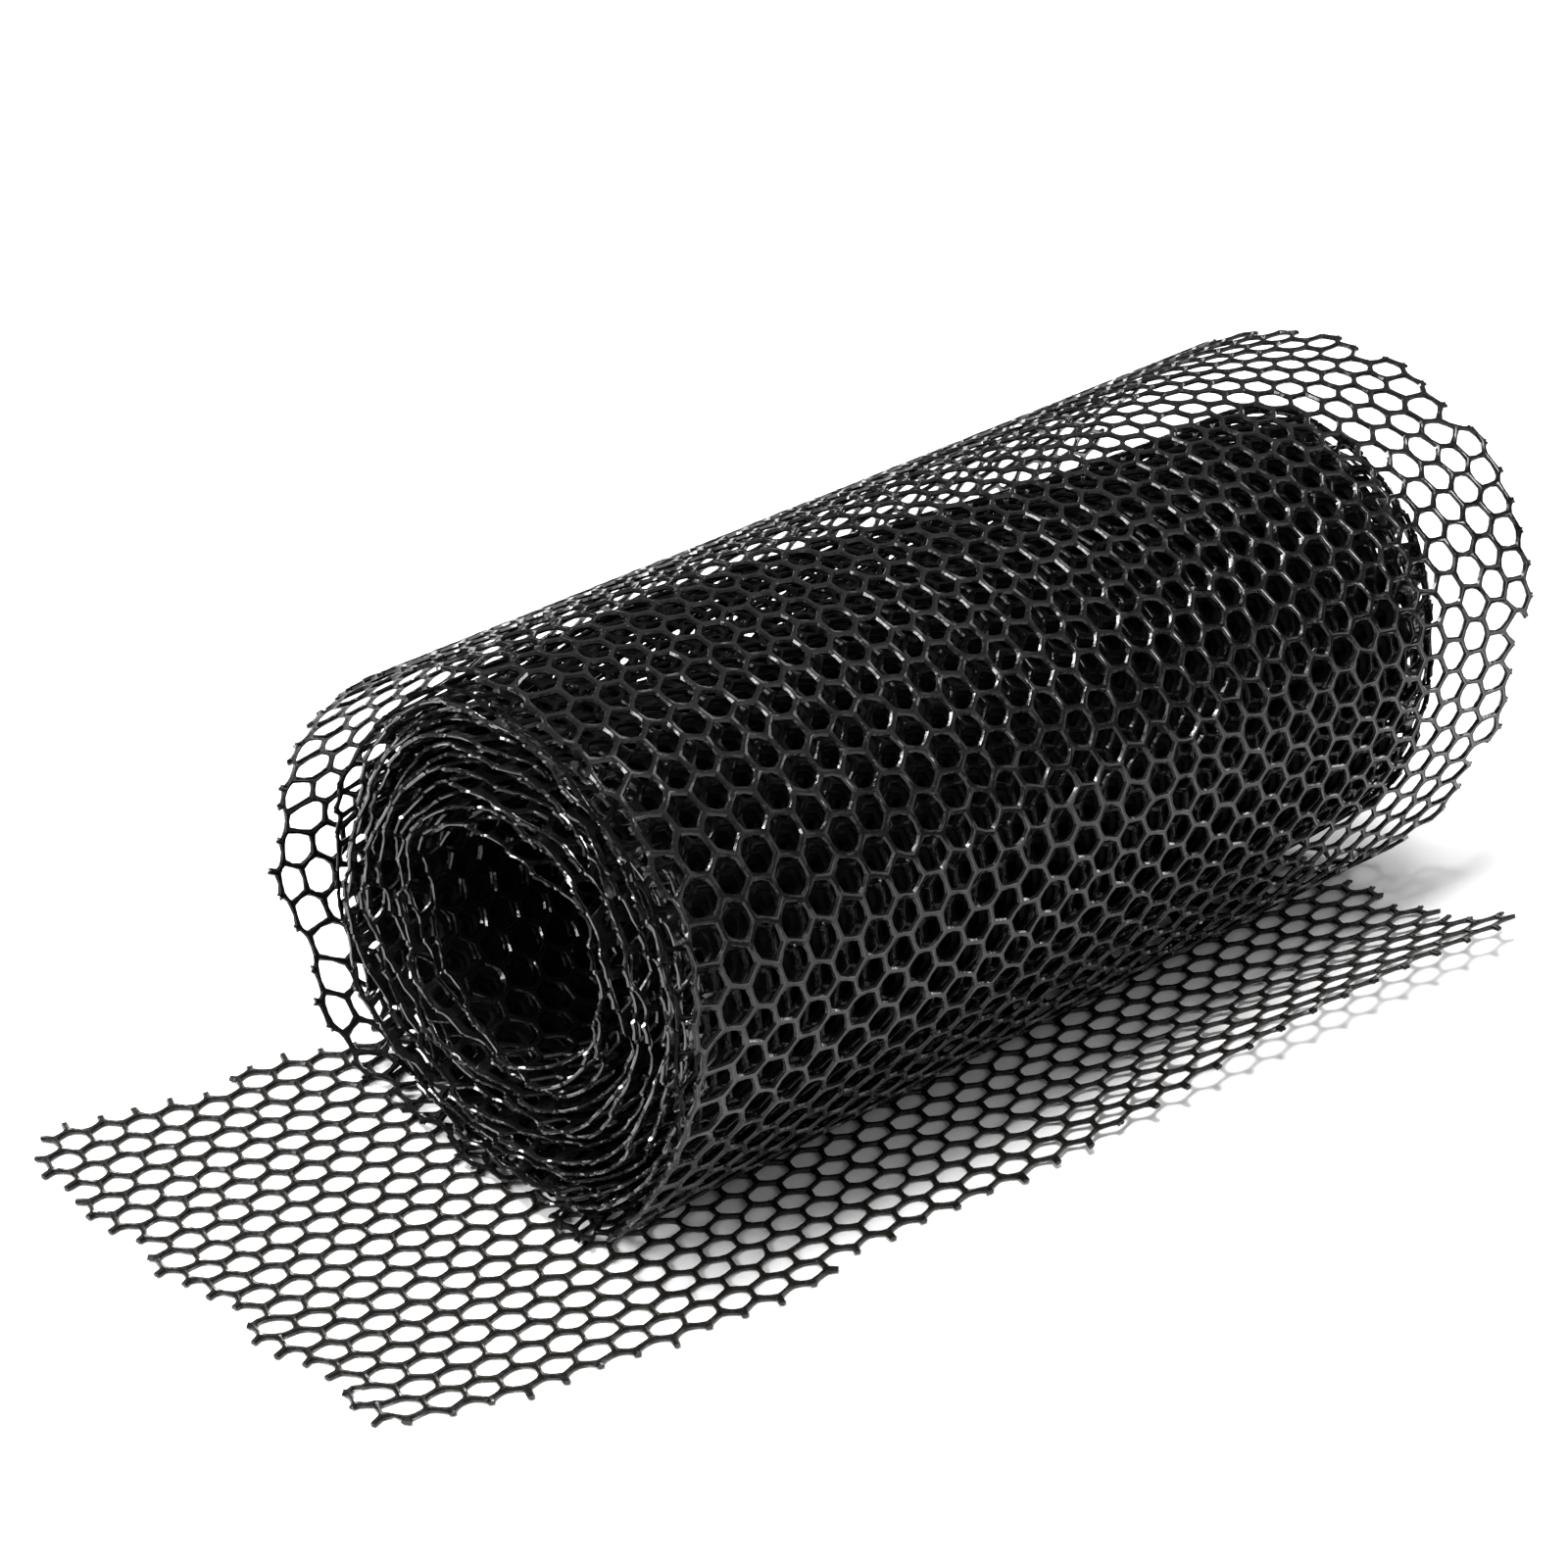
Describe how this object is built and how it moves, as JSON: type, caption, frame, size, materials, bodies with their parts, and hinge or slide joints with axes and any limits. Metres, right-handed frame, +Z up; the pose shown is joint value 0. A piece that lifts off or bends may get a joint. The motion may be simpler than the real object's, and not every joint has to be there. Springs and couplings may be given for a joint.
{
  "type": "roll of plastic fence netting on a laid-out length of the same netting",
  "caption": "Tight hollow roll of black hexagonal plastic fence netting with a loose outer turn, lying on a flat length of the same netting.",
  "frame": {"origin": "bottom centre of the whole: the roll, its loose turn and the laid-out netting, on the surface they rest on", "axes": "+X along the roll's axis from its near end to its far end, +Z up, +Y towards the side where the loose turn stands off"},
  "size_m": [0.483, 0.2448, 0.1759],
  "materials": {
    "roll_netting": "satin black extruded polyethylene",
    "turn_netting": "satin black extruded polyethylene",
    "flat_netting": "satin black extruded polyethylene"
  },
  "bodies": {
    "root": {"wound_roll": "roll_netting", "loose_outer_turn": "turn_netting", "laid_out_end": "flat_netting"}
  },
  "joints": []
}
